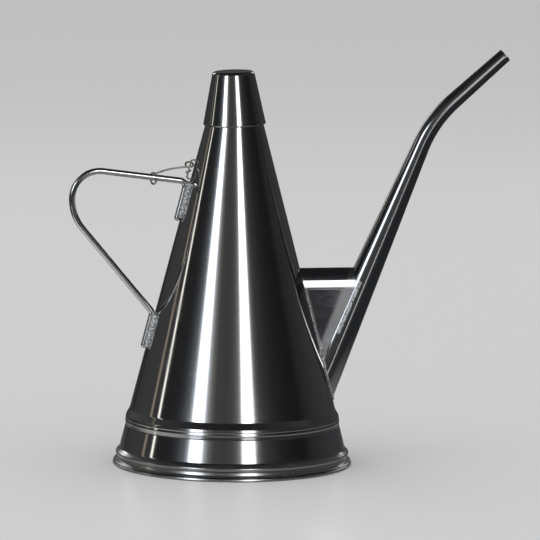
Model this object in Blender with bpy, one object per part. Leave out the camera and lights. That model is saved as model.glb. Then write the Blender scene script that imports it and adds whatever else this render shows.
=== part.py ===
"""Conical olive oil dispenser of polished stainless steel, with a slip-on cap, a long
bent spout held by a folded gusset, a wire handle and a thin keeper wire.

Metres, +Z up. The origin is the centre of the base, on the table. The spout points
along +X and the handle along -X, both in the upright middle plane Y = 0.
"""

import math

import bmesh
import bpy
from mathutils import Matrix, Vector

# Shared by all pieces: the sheet, and the gap that neighbours keep
SHEET = 0.0006
CLEARANCE = 0.0003
OVERRUN = 0.006

# Cone of the body, as it would run down to the table
CONE_RADIUS = 0.0640
MOUTH_HEIGHT = 0.2030
MOUTH_RADIUS = 0.01152
CONE_TAPER_SHARE = (CONE_RADIUS - MOUTH_RADIUS) / MOUTH_HEIGHT
MOUTH_ROLL_RADIUS = 0.0009

# Swaged band low on the cone
BAND_TOP = 0.0310
BAND_CREST = 0.0268
BAND_FOOT = 0.0226
BAND_END = 0.0214
BAND_PROUD = 0.0010

# Flared lip at the lower edge of the cone
LIP_START = 0.0086
LIP_CREST = 0.0060
LIP_END = 0.0046
LIP_PROUD = 0.0012

# Pressed pan that closes the bottom and makes the foot
PAN_UPSTAND = 0.0135
PAN_NECK = 0.0043
FOOT_PROUD = 0.0012
FOOT_TOP = 0.0034
FOOT_CREASE = 0.0019
FOOT_CREASE_DEPTH = 0.0005
FOOT_CREASE_HALF = 0.0004
FOOT_EDGE_RADIUS = 0.0010
FOOT_REST_WIDTH = 0.0012
FOOT_ROLL_WIDTH = 0.0030
GROOVE_HEIGHT = 0.0030
GROOVE_WIDTH = 0.0057
GROOVE_SLOPE_WIDTH = 0.0030

# Slip-on cap
CAP_OVERLAP = 0.0168
CAP_HEIGHT = 0.0290
CAP_PROUD = 0.00113
CAP_TAPER_SHARE = 0.7643 * CONE_TAPER_SHARE
CAP_CORNER_RADIUS = 0.0016
CAP_HEM_HEIGHT = 0.0030

# Spout: a tapered run, one bend and a nearly even tip
SPOUT_ROOT_HEIGHT = 0.0505
SPOUT_LEAN = math.radians(23.0)
SPOUT_BEND = math.radians(25.6)
SPOUT_LOWER_RUN = 0.1485
SPOUT_TIP_RUN = 0.0540
SPOUT_BEND_RADIUS = 0.0680
SPOUT_ROOT_RADIUS = 0.0098
SPOUT_NECK_RADIUS = 0.0049
SPOUT_TIP_RADIUS = 0.00385

# Folded gusset between the cone and the spout, narrower than the spout
GUSSET_TOP = 0.1070
GUSSET_TIP = 0.0600
GUSSET_CREST_DEPTH = 0.0120
GUSSET_WIDTH_SHARE = 0.870

# Welded seam round the root of the spout, below the gusset
SEAM_RADIUS = 0.00055
SEAM_TOP = 0.0575
SEAM_STEPS = 36

# Wire handle, hung below the mouth
HANDLE_WIRE_RADIUS = 0.0017
HANDLE_DROP = 0.0478
HANDLE_SPAN = 0.0715
HANDLE_UPPER_HEIGHT = MOUTH_HEIGHT - HANDLE_DROP
HANDLE_LOWER_HEIGHT = HANDLE_UPPER_HEIGHT - HANDLE_SPAN
HANDLE_REACH = 0.0628
HANDLE_RISE = 0.0082
HANDLE_BACK_DROP = 0.0262
HANDLE_UPPER_FOOT = 0.0205
HANDLE_LOWER_FOOT = 0.0185
HANDLE_FOOT_BEND = 0.0032
HANDLE_CROWN_BEND = 0.0149
HANDLE_BACK_BEND = 0.0245

# Thin keeper wire between the handle and the cone, and the staple that holds it,
# set above the handle's upper foot
KEEPER_WIRE_RADIUS = 0.00050
STAPLE_RISE = 0.0014
STAPLE_LENGTH = 0.0102
STAPLE_BOTTOM = HANDLE_UPPER_HEIGHT + STAPLE_RISE
STAPLE_TOP = STAPLE_BOTTOM + STAPLE_LENGTH
STAPLE_STANDOFF = 0.0026
STAPLE_BEND = 0.0011
RING_RADIUS = 0.00135
RING_RISE = 0.0040
RING_HEIGHT = STAPLE_BOTTOM + RING_RISE
RING_TILT = math.radians(24.0)
PIN_EYE_RADIUS = 0.0021
PIN_EYE_RISE = 0.0078
PIN_EYE_HEIGHT = STAPLE_BOTTOM + PIN_EYE_RISE
PIN_EYE_TILT = math.radians(34.0)
PIN_EYE_START = math.radians(205.0)
PIN_EYE_SHIFT = 0.0005
PIN_RING_RADIUS = 0.0031
PIN_RING_TURN = math.radians(22.0)
PIN_RING_START = math.radians(58.0)
PIN_RING_SWEEP = math.radians(300.0)
PIN_REACH = 0.0152
PIN_BOW = 0.0010
BOW_STEPS = 4

# How finely round forms are divided
BODY_STEPS = 72
CAP_STEPS = 48
SPOUT_SIDES = 24
WIRE_SIDES = 12
THIN_SIDES = 8
ARC_STEPS = 5


def cone_radius(height):
    """Outer radius of the plain cone at a height above the table."""
    return CONE_RADIUS - CONE_TAPER_SHARE * height


FOOT_RADIUS = CONE_RADIUS + FOOT_PROUD
CAP_RIM_HEIGHT = MOUTH_HEIGHT - CAP_OVERLAP
CAP_RIM_RADIUS = cone_radius(CAP_RIM_HEIGHT) + CAP_PROUD
CONE_COS = 1 / math.hypot(1, CONE_TAPER_SHARE)
SHEET_ACROSS = SHEET / CONE_COS
GAP_ACROSS = CLEARANCE / CONE_COS


def clear_scene():
    for obj in list(bpy.data.objects):
        bpy.data.objects.remove(obj)


def metal(name, colour, roughness):
    material = bpy.data.materials.new(name)
    material.use_nodes = True
    shader = material.node_tree.nodes["Principled BSDF"]
    shader.inputs["Base Color"].default_value = (*colour, 1)
    shader.inputs["Roughness"].default_value = roughness
    shader.inputs["Metallic"].default_value = 1
    return material


def finished(name, bm, material, sharp=math.radians(32)):
    """Turns a bmesh into a smooth-shaded object with one material."""
    bmesh.ops.recalc_face_normals(bm, faces=bm.faces)
    mesh = bpy.data.meshes.new(name)
    bm.to_mesh(mesh)
    bm.free()
    mesh.shade_smooth()
    mesh.set_sharp_from_angle(angle=sharp)
    obj = bpy.data.objects.new(name, mesh)
    bpy.context.scene.collection.objects.link(obj)
    if material:
        mesh.materials.append(material)
    return obj


def arc(centre, radius, start, end, steps=ARC_STEPS):
    """Points on a round stretch of an outline, from one angle to another in degrees."""
    angles = [math.radians(start + (end - start) * k / steps) for k in range(steps + 1)]
    return [(centre[0] + radius * math.cos(a), centre[1] + radius * math.sin(a)) for a in angles]


def turned(name, outline, steps, material=None):
    """Spins an outline of (radius, height) points about Z. It closes on itself or on the axis."""
    bm = bmesh.new()
    points = [bm.verts.new((r, 0, z)) for r, z in outline]
    on_axis = outline[0][0] == 0 and outline[-1][0] == 0
    ends = zip(points, points[1:] + ([] if on_axis else points[:1]))
    edges = [bm.edges.new(pair) for pair in ends]
    bmesh.ops.spin(
        bm, geom=points + edges, cent=(0, 0, 0), axis=(0, 0, 1), angle=math.tau, steps=steps, use_merge=True
    )
    near = CLEARANCE / 100
    axis_points = [v for v in bm.verts if v.co.xy.length < near]
    bmesh.ops.remove_doubles(bm, verts=axis_points, dist=near)
    return finished(name, bm, material)


def rounded(corners, radii, steps=ARC_STEPS):
    """A path through corners, each inner one replaced by an arc of its radius."""
    path = [corners[0]]
    for before, corner, after, radius in zip(corners, corners[1:], corners[2:], radii):
        back, on = (before - corner).normalized(), (after - corner).normalized()
        turn = math.pi - back.angle(on)
        reach = radius * math.tan(turn / 2)
        middle = corner + (back + on).normalized() * radius / math.cos(turn / 2)
        first, last = (corner + way * reach - middle for way in (back, on))
        count = max(2, round(steps * turn / math.radians(40)))
        path += [middle + first.slerp(last, k / count).normalized() * radius for k in range(count + 1)]
    return path + [corners[-1]]


def frames(path, closed):
    """Two cross directions at each point of a path, carried along without twist."""
    ring = len(path)
    found = []
    side = None
    for k, point in enumerate(path):
        ahead = path[(k + 1) % ring] if closed or k < ring - 1 else point
        behind = path[k - 1] if closed or k else point
        along = (ahead - behind).normalized()
        if side is None:
            start = Vector((0, 1, 0)) if abs(along.y) < abs(along.z) + abs(along.x) else Vector((1, 0, 0))
            side = start - along * start.dot(along)
        side = (side - along * side.dot(along)).normalized()
        found.append((side, along.cross(side)))
    return found


def swept_rings(bm, path, radii, sides, closed=False):
    """Rings of points round a path."""
    rings = []
    for point, radius, (side, up) in zip(path, radii, frames(path, closed)):
        turns = [math.tau * k / sides for k in range(sides)]
        rings.append([bm.verts.new(point + (side * math.cos(t) + up * math.sin(t)) * radius) for t in turns])
    return rings


def skin(bm, rings, closed=False):
    sides = len(rings[0])
    for one, two in zip(rings, rings[1:] + (rings[:1] if closed else [])):
        for k in range(sides):
            m = (k + 1) % sides
            bm.faces.new((one[k], one[m], two[m], two[k]))


def rod(name, path, radius, sides, material=None):
    """A round wire along a path, with slightly domed ends."""
    bm = bmesh.new()
    start, end = (path[0] - path[1]).normalized(), (path[-1] - path[-2]).normalized()
    dome = 0.6 * radius
    path = [path[0] + start * dome] + list(path) + [path[-1] + end * dome]
    radii = [dome] + [radius] * (len(path) - 2) + [dome]
    rings = swept_rings(bm, path, radii, sides)
    skin(bm, rings)
    bm.faces.new(rings[0])
    bm.faces.new(rings[-1])
    return finished(name, bm, material)


def pipe(name, path, outer, inner, sides, material=None):
    """A tube along a path with its own outer and inner radius at each point."""
    bm = bmesh.new()
    outside = swept_rings(bm, path, outer, sides)
    inside = swept_rings(bm, path, inner, sides)
    skin(bm, outside)
    skin(bm, inside)
    for one, two in ((outside[0], inside[0]), (outside[-1], inside[-1])):
        skin(bm, [one, two])
    return finished(name, bm, material)


def prism(name, outline, half_width):
    """An outline of (x, z) points stretched to both sides of the middle plane."""
    bm = bmesh.new()
    face = bm.faces.new([bm.verts.new((x, -half_width, z)) for x, z in outline])
    made = bmesh.ops.extrude_face_region(bm, geom=[face])["geom"]
    moved = [v for v in made if isinstance(v, bmesh.types.BMVert)]
    bmesh.ops.translate(bm, verts=moved, vec=(0, 2 * half_width, 0))
    return finished(name, bm, None)


def cutter(obj):
    obj.hide_render = True
    obj.display_type = "WIRE"
    return obj


def boolean(obj, other, operation="DIFFERENCE"):
    modifier = obj.modifiers.new(other.name, "BOOLEAN")
    modifier.object = other
    modifier.operation = operation
    modifier.solver = "EXACT"


def inner(outline, across):
    """The inner side of a sheet, as far in as the sheet is thick, run the other way."""
    return [(r - across, z) for r, z in reversed(outline)]


# Body: one spun cone with a rolled mouth, a swaged band and a flared lip

def band_outline():
    crest = cone_radius(BAND_CREST) + BAND_PROUD
    hollow = (BAND_TOP - BAND_CREST) / 3
    return [
        (cone_radius(BAND_TOP), BAND_TOP),
        (cone_radius(BAND_TOP) + hollow / 2, BAND_TOP - hollow),
        (crest - hollow / 4, BAND_CREST + hollow / 2),
        (crest, BAND_CREST),
        (crest, BAND_FOOT),
        (cone_radius(BAND_END), BAND_END),
    ]


def lip_outline():
    crest = cone_radius(LIP_CREST) + LIP_PROUD
    rise = (LIP_START - LIP_CREST) / 3
    return [
        (cone_radius(LIP_START), LIP_START),
        (cone_radius(LIP_START) + LIP_PROUD / 3, LIP_START - rise),
        (crest - LIP_PROUD / 4, LIP_CREST + rise),
        (crest, LIP_CREST),
        (crest - LIP_PROUD / 6, LIP_END),
    ]


def body_shell(material):
    roll_centre = (cone_radius(MOUTH_HEIGHT), MOUTH_HEIGHT - MOUTH_ROLL_RADIUS)
    roll = arc(roll_centre, MOUTH_ROLL_RADIUS, 150, -40, 2 * ARC_STEPS)
    under_roll = MOUTH_HEIGHT - 3 * MOUTH_ROLL_RADIUS
    wall = [(cone_radius(under_roll), under_roll)] + band_outline() + lip_outline()
    shell = turned("body_shell", roll + wall + inner(wall, SHEET_ACROSS), BODY_STEPS, material)
    boolean(shell, spout_bore())
    return shell


# Base pan: upstand inside the cone, rolled foot, flat floor inside a pressed groove

def base_pan(material):
    fit = SHEET_ACROSS + GAP_ACROSS
    top, neck = cone_radius(PAN_UPSTAND) - fit, cone_radius(PAN_NECK) - fit
    edge = FOOT_RADIUS - FOOT_EDGE_RADIUS
    rest = edge - FOOT_REST_WIDTH
    heel = FOOT_RADIUS - FOOT_ROLL_WIDTH
    crease = FOOT_CREASE_HALF
    shoulder = FOOT_RADIUS - FOOT_EDGE_RADIUS / 2
    outside = [(top, PAN_UPSTAND), (neck, PAN_NECK), ((neck + shoulder) / 2, FOOT_TOP)]
    outside += [(shoulder, FOOT_TOP - crease), (FOOT_RADIUS, FOOT_CREASE + crease)]
    outside += [(FOOT_RADIUS - FOOT_CREASE_DEPTH, FOOT_CREASE), (FOOT_RADIUS, FOOT_CREASE - crease)]
    outside += arc((edge, FOOT_EDGE_RADIUS), FOOT_EDGE_RADIUS, 0, -90)
    groove = heel - GROOVE_WIDTH
    floor_edge = groove - GROOVE_SLOPE_WIDTH
    under = [(rest, 0), (heel, FOOT_EDGE_RADIUS), (heel, GROOVE_HEIGHT)]
    under += [(groove, GROOVE_HEIGHT), (floor_edge, 0), (0, 0)]
    over = [(0, SHEET), (floor_edge, SHEET), (groove, GROOVE_HEIGHT + SHEET)]
    over += [(neck - FOOT_ROLL_WIDTH / 2, GROOVE_HEIGHT + SHEET), (top - SHEET_ACROSS, PAN_UPSTAND)]
    outline = list(reversed(under)) + list(reversed(outside)) + list(reversed(over))
    return turned("base_pan", outline, BODY_STEPS, material)


# Cap: a taper narrower than the cone's, hemmed at its rim, which seats on the cone

def cap(material):
    wall = SHEET / math.cos(math.atan(CAP_TAPER_SHARE))
    top = CAP_RIM_RADIUS - CAP_TAPER_SHARE * CAP_HEIGHT
    corner = (top - CAP_CORNER_RADIUS, CAP_HEIGHT - CAP_CORNER_RADIUS)
    lean = math.degrees(math.atan(CAP_TAPER_SHARE))
    outside = [(0, CAP_HEIGHT)] + arc(corner, CAP_CORNER_RADIUS, 90, lean)
    outside += [(CAP_RIM_RADIUS - CAP_TAPER_SHARE * SHEET, SHEET), (CAP_RIM_RADIUS - SHEET / 2, 0)]
    seat = cone_radius(CAP_RIM_HEIGHT) + GAP_ACROSS
    hem_top = CAP_RIM_RADIUS - CAP_TAPER_SHARE * CAP_HEM_HEIGHT - wall
    inside = [(seat, 0), (seat - CONE_TAPER_SHARE * CAP_HEM_HEIGHT, CAP_HEM_HEIGHT), (hem_top, CAP_HEM_HEIGHT + SHEET)]
    inside += list(reversed(arc(corner, CAP_CORNER_RADIUS - SHEET, 90, lean))) + [(0, CAP_HEIGHT - SHEET)]
    made = turned("cap", outside + inside, CAP_STEPS, material)
    made.location = (0, 0, CAP_RIM_HEIGHT)
    return made


# Spout: starts on the cone's axis side, leaves the cone, bends once

def spout_root():
    return Vector((cone_radius(SPOUT_ROOT_HEIGHT), 0, SPOUT_ROOT_HEIGHT))


def spout_along(lean):
    return Vector((math.sin(lean), 0, math.cos(lean)))


def spout_path(back):
    """Middle line of the spout, starting some way back inside the cone."""
    root = spout_root()
    low, high = spout_along(SPOUT_LEAN), spout_along(SPOUT_LEAN + SPOUT_BEND)
    corner = root + low * SPOUT_LOWER_RUN
    return rounded([root - low * back, corner, corner + high * SPOUT_TIP_RUN], [SPOUT_BEND_RADIUS], 2 * ARC_STEPS)


def spout_radius(distance):
    """Outer radius at a distance along the middle line from the root."""
    neck = SPOUT_LOWER_RUN - SPOUT_BEND_RADIUS * math.tan(SPOUT_BEND / 2)
    end = SPOUT_LOWER_RUN + SPOUT_TIP_RUN
    if distance < neck:
        return SPOUT_ROOT_RADIUS + (SPOUT_NECK_RADIUS - SPOUT_ROOT_RADIUS) * distance / neck
    return SPOUT_NECK_RADIUS + (SPOUT_TIP_RADIUS - SPOUT_NECK_RADIUS) * (distance - neck) / (end - neck)


def spout_radii(path, back, more):
    distance, found = -back, []
    for k, point in enumerate(path):
        distance += (point - path[k - 1]).length if k else 0
        found.append(spout_radius(distance) + more)
    return found


def spout_bore():
    """The spout's hollow, run back through the wall of the cone."""
    back = SPOUT_ROOT_RADIUS + OVERRUN
    low = spout_along(SPOUT_LEAN)
    root = spout_root()
    path = [root - low * back, root + low * back]
    bm = bmesh.new()
    rings = swept_rings(bm, path, spout_radii(path, back, -SHEET - CLEARANCE), SPOUT_SIDES)
    skin(bm, rings)
    bm.faces.new(rings[0])
    bm.faces.new(rings[-1])
    return cutter(finished("spout_bore_cutter", bm, None))


def cone_cutter():
    """The cone with the gap that its neighbours keep."""
    top = MOUTH_HEIGHT
    outline = [(0, top), (cone_radius(top) + GAP_ACROSS, top), (cone_radius(0) + GAP_ACROSS, 0), (0, 0)]
    return cutter(turned("cone_cutter", outline, BODY_STEPS))


def spout_tube(material, cone):
    back = 2 * SPOUT_ROOT_RADIUS
    path = spout_path(back)
    tube = pipe(
        "spout_tube", path, spout_radii(path, back, 0), spout_radii(path, back, -SHEET), SPOUT_SIDES, material
    )
    boolean(tube, cone)
    return tube


# Gusset: a sheet folded over an arched crest, cut to the cone and to the spout

def spout_axis_x(height):
    return spout_root().x + (height - SPOUT_ROOT_HEIGHT) * math.tan(SPOUT_LEAN)


def gusset_half(height):
    """Half the width over both flanks, which widen downwards as the spout does."""
    return GUSSET_WIDTH_SHARE * (spout_radius((height - SPOUT_ROOT_HEIGHT) / math.cos(SPOUT_LEAN)) + CLEARANCE)


def saddle(name, inset, low, left, right, material=None):
    """An arched crest over two flanks, run along X from left to right."""
    spring = GUSSET_TOP - GUSSET_CREST_DEPTH
    wide, tall = gusset_half(spring) - inset, GUSSET_CREST_DEPTH - inset
    section = [(y * wide, spring + z * tall) for y, z in arc((0, 0), 1, 0, 180, 3 * ARC_STEPS)]
    section += [(-gusset_half(low) + inset, low), (gusset_half(low) - inset, low)]
    bm = bmesh.new()
    rings = [[bm.verts.new((x, y, z)) for y, z in section] for x in (left, right)]
    skin(bm, rings)
    bm.faces.new(rings[0])
    bm.faces.new(rings[1])
    return finished(name, bm, material)


def spout_room():
    """The spout with the gap that its neighbours keep."""
    back = 2 * SPOUT_ROOT_RADIUS
    path = spout_path(back)
    bm = bmesh.new()
    rings = swept_rings(bm, path, spout_radii(path, back, CLEARANCE), SPOUT_SIDES)
    skin(bm, rings)
    bm.faces.new(rings[0])
    bm.faces.new(rings[-1])
    return cutter(finished("spout_room_cutter", bm, None))


def spout_gusset(material, cone):
    left, right = cone_radius(GUSSET_TOP) - OVERRUN, spout_axis_x(GUSSET_TOP) + OVERRUN
    deep = GUSSET_TIP - OVERRUN
    gusset = saddle("spout_gusset", 0, deep, left, right, material)
    hollow = saddle("gusset_hollow_cutter", SHEET, deep - OVERRUN, left - OVERRUN, right + OVERRUN)
    outline = [
        (cone_radius(GUSSET_TOP) - 2 * OVERRUN, GUSSET_TIP),
        (spout_axis_x(GUSSET_TIP), GUSSET_TIP),
        (spout_axis_x(GUSSET_TOP + OVERRUN), GUSSET_TOP + OVERRUN),
        (cone_radius(GUSSET_TOP) - 2 * OVERRUN, GUSSET_TOP + OVERRUN),
    ]
    wide = gusset_half(deep) + OVERRUN
    boolean(gusset, cutter(prism("gusset_outline_cutter", outline, wide)), "INTERSECT")
    boolean(gusset, cutter(hollow))
    boolean(gusset, cone)
    boolean(gusset, spout_room())
    return gusset


# Seam: a bead in the corner between the spout and the cone

def seam_point(turn):
    """Where the bead's middle keeps the gap to both, at an angle round the spout."""
    along = spout_along(SPOUT_LEAN)
    away = Vector((along.z, 0, -along.x))
    aside = Vector((0, 1, 0))
    gap = CLEARANCE + SEAM_RADIUS

    def place(distance):
        reach = spout_radius(distance) + gap
        return spout_root() + along * distance + (away * math.cos(turn) + aside * math.sin(turn)) * reach

    low, high = -3 * SPOUT_ROOT_RADIUS, 3 * SPOUT_ROOT_RADIUS
    for _ in range(40):
        middle = place((low + high) / 2)
        off = (middle.xy.length - cone_radius(middle.z)) * CONE_COS
        low, high = ((low + high) / 2, high) if off < gap else (low, (low + high) / 2)
    return place((low + high) / 2)


def spout_seam(material):
    points = [seam_point(math.tau * (k / SEAM_STEPS - 1 / 2)) for k in range(SEAM_STEPS + 1)]
    return rod("spout_seam", [p for p in points if p.z < SEAM_TOP], SEAM_RADIUS, THIN_SIDES, material)


# Handle: one wire, both ends laid along the cone

def beside_cone(height, off):
    """A point in the middle plane on the handle's side, this far off the cone."""
    return Vector((-cone_radius(height) - off / CONE_COS, 0, height))


def down_cone(distance):
    return Vector((-CONE_TAPER_SHARE, 0, -1)) * CONE_COS * distance


def handle_corners():
    off = HANDLE_WIRE_RADIUS + CLEARANCE
    upper, lower = beside_cone(HANDLE_UPPER_HEIGHT, off), beside_cone(HANDLE_LOWER_HEIGHT, off)
    crown = upper + Vector((-HANDLE_REACH, 0, HANDLE_RISE))
    heel = crown - Vector((0, 0, HANDLE_BACK_DROP))
    return [upper + down_cone(HANDLE_UPPER_FOOT), upper, crown, heel, lower, lower + down_cone(HANDLE_LOWER_FOOT)]


def handle_wire(material):
    bends = [HANDLE_FOOT_BEND, HANDLE_CROWN_BEND, HANDLE_BACK_BEND, HANDLE_FOOT_BEND]
    return rod("handle_wire", rounded(handle_corners(), bends), HANDLE_WIRE_RADIUS, WIRE_SIDES, material)


# Keeper: a staple on the cone with a loose ring, and a thin wire from the staple to the handle

def keeper_staple(material):
    off = STAPLE_STANDOFF
    seat = KEEPER_WIRE_RADIUS + CLEARANCE
    corners = [
        beside_cone(STAPLE_TOP, seat),
        beside_cone(STAPLE_TOP, off),
        beside_cone(STAPLE_BOTTOM, off),
        beside_cone(STAPLE_BOTTOM, seat),
    ]
    return rod("keeper_staple", rounded(corners, [STAPLE_BEND] * 2), KEEPER_WIRE_RADIUS, THIN_SIDES, material)


def loop(centre, radius, across, up, start, sweep, steps):
    """Points round a loop that lies in the plane of two directions."""
    angles = [start + sweep * k / steps for k in range(steps + 1)]
    return [centre + (across * math.cos(a) + up * math.sin(a)) * radius for a in angles]


def keeper_ring(material):
    centre = beside_cone(RING_HEIGHT, STAPLE_STANDOFF)
    across = Vector((math.cos(RING_TILT), 0, math.sin(RING_TILT)))
    path = loop(centre, RING_RADIUS, across, Vector((0, 1, 0)), 0, math.tau, 2 * THIN_SIDES)[:-1]
    bm = bmesh.new()
    thin = [KEEPER_WIRE_RADIUS - CLEARANCE / 3] * len(path)
    skin(bm, swept_rings(bm, path, thin, THIN_SIDES, closed=True), closed=True)
    return finished("keeper_ring", bm, material)


def keeper_pin(material):
    staple = beside_cone(PIN_EYE_HEIGHT, STAPLE_STANDOFF)
    across = Vector((1, 0, 0))
    flat = Vector((0, math.cos(PIN_EYE_TILT), math.sin(PIN_EYE_TILT)))
    turn = -PIN_EYE_START - math.radians(90)
    eye = loop(staple - across * PIN_EYE_SHIFT, PIN_EYE_RADIUS, across, flat, PIN_EYE_START, turn, 14)
    upper, crown = handle_corners()[1:3]
    share = (PIN_REACH + HANDLE_FOOT_BEND) / HANDLE_REACH
    wire_middle = upper + (crown - upper) * share
    hang = PIN_RING_RADIUS - HANDLE_WIRE_RADIUS - KEEPER_WIRE_RADIUS - CLEARANCE
    ring_centre = wire_middle - Vector((0, 0, hang))
    side = Vector((math.sin(PIN_RING_TURN), -math.cos(PIN_RING_TURN), 0))
    ring = loop(ring_centre, PIN_RING_RADIUS, side, Vector((0, 0, 1)), PIN_RING_START, PIN_RING_SWEEP, 16)
    bow = []
    for k in range(1, BOW_STEPS):
        share = k / BOW_STEPS
        bow.append(eye[-1].lerp(ring[0], share) + Vector((0, 0, 4 * share * (1 - share) * PIN_BOW)))
    return rod("keeper_pin", eye + bow + ring, KEEPER_WIRE_RADIUS, THIN_SIDES, material)


def main():
    clear_scene()
    polished = metal("polished_steel", (0.62, 0.62, 0.61), 0.10)
    brushed = metal("satin_steel", (0.55, 0.55, 0.54), 0.28)
    wire = metal("handle_steel", (0.66, 0.66, 0.66), 0.14)
    thin = metal("keeper_steel", (0.60, 0.59, 0.55), 0.22)
    cone = cone_cutter()
    body_shell(polished)
    base_pan(brushed)
    cap(polished)
    spout_tube(polished, cone)
    spout_gusset(polished, cone)
    spout_seam(brushed)
    handle_wire(wire)
    keeper_staple(thin)
    keeper_ring(thin)
    keeper_pin(thin)


main()
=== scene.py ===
# %% [markdown]
# # A conical oil can of polished steel
#
# This can is sheet steel, bent, spun, pressed and welded, then polished like a mirror. A
# mirror has hardly a colour of its own: it looks like what stands round it. So half of
# this lesson makes true, smooth shapes, and the other half makes a room for them to show.
#
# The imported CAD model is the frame. It says where each part lies and what moves.

# %% Load the frame
import math

import bmesh
import bpy
from mathutils import Matrix, Vector, noise


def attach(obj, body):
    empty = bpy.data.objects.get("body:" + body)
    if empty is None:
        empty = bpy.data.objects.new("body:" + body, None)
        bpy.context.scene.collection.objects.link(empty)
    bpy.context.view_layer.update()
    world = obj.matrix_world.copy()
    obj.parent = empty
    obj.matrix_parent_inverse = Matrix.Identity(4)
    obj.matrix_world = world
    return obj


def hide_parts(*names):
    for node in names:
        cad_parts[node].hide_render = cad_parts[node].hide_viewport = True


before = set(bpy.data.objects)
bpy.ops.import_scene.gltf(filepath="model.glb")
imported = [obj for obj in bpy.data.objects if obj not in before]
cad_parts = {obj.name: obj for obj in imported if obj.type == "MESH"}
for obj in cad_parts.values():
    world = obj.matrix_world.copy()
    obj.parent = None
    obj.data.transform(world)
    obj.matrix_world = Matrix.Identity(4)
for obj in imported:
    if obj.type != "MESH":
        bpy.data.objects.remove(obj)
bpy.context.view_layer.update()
print("CAD nodes:", sorted(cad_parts))

# %% [markdown]
# ## The sizes of the real can
#
# Every length is in metres, and the same as in the CAD source, so a piece made here lies
# exactly where the solid does. The origin is under the middle of the base. The spout
# points along +X and the handle along -X.

# %% Sizes
MM = 0.001
MICRON = 0.001 * MM
UP = Vector((0, 0, 1))
ASIDE = Vector((0, 1, 0))
SHEET = 0.6 * MM
GAP = 0.3 * MM
CONE_RADIUS, MOUTH_RADIUS, MOUTH_HEIGHT = 64.0 * MM, 11.52 * MM, 203.0 * MM
CONE_TAPER = (CONE_RADIUS - MOUTH_RADIUS) / MOUTH_HEIGHT
CONE_COS = 1 / math.hypot(1, CONE_TAPER)
SHEET_ACROSS, GAP_ACROSS = SHEET / CONE_COS, GAP / CONE_COS
ROOT_Z, SPOUT_LEAN = 50.5 * MM, math.radians(23.0)


def cone_radius(height):
    """Outer radius of the plain cone at a height above the table."""
    return CONE_RADIUS - CONE_TAPER * height


print(f"the cone leans in by {math.degrees(math.atan(CONE_TAPER)):.1f} degrees")

# %% [markdown]
# ## The camera
#
# A long lens from almost three metres keeps the can free of strong perspective, as the
# photograph has it. The camera stands a little to the handle's side and looks down by
# seven degrees. A small shift puts the can left of the middle, because the spout needs
# room on the right.

# %% Camera
CAMERA_TURN, CAMERA_PITCH, CAMERA_ROLL = math.radians(-9), math.radians(7.443), math.radians(0.45)
CAMERA_BACK, CAMERA_HEIGHT = 2.959, 0.4926
SENSOR_WIDTH, LENS_LENGTH = 36, 365.07
SHIFT_X, SHIFT_Y = 0.06776, 0.00094
AWAY = Vector((-math.sin(CAMERA_TURN), math.cos(CAMERA_TURN), 0))
RIGHT = Vector((math.cos(CAMERA_TURN), math.sin(CAMERA_TURN), 0))

look = AWAY * math.cos(CAMERA_PITCH) - UP * math.sin(CAMERA_PITCH)
over = RIGHT.cross(look)
tilted_right = RIGHT * math.cos(CAMERA_ROLL) + over * math.sin(CAMERA_ROLL)
tilted_up = tilted_right.cross(look)

lens = bpy.data.cameras.new("camera")
lens.sensor_width, lens.lens = SENSOR_WIDTH, LENS_LENGTH
lens.shift_x, lens.shift_y = SHIFT_X, SHIFT_Y
camera = bpy.data.objects.new("camera", lens)
bpy.context.scene.collection.objects.link(camera)
turn = Matrix((tilted_right, tilted_up, -look)).transposed()
camera.matrix_world = Matrix.Translation(-AWAY * CAMERA_BACK + UP * CAMERA_HEIGHT) @ turn.to_4x4()
bpy.context.scene.camera = camera
print("camera at", [round(c, 3) for c in camera.location])

# %% [markdown]
# ## A small language for node trees
#
# Shader maths drawn as boxes is hard to read, so a wrapped socket lets Python's own
# operators add the Math nodes. One method adds any other node: its kind, its settings,
# and the values or links of its sockets. The same class serves Geometry Nodes.


# %% Node helpers
class Value:
    """A number socket that understands + - * and their reflected forms."""

    def __init__(self, graph, socket):
        self.graph, self.socket = graph, socket

    def maths(self, operation, *others):
        sockets = dict(enumerate((self, *others)))
        return self.graph.value(self.graph.add("ShaderNodeMath", {"operation": operation}, sockets), 0)

    def __add__(self, other):
        return self.maths("ADD", other)

    def __mul__(self, other):
        return self.maths("MULTIPLY", other)

    def __sub__(self, other):
        return self.maths("SUBTRACT", other)

    def __rsub__(self, other):
        return self.maths("MULTIPLY", -1) + other

    __radd__, __rmul__ = __add__, __mul__

    def band(self, low, high, start=0.0, end=1.0):
        """Eases from start to end while the value goes from low to high."""
        places = {"Value": self, "From Min": low, "From Max": high, "To Min": start, "To Max": end}
        made = self.graph.add("ShaderNodeMapRange", {"interpolation_type": "SMOOTHSTEP"}, places)
        return self.graph.value(made, "Result")


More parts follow.
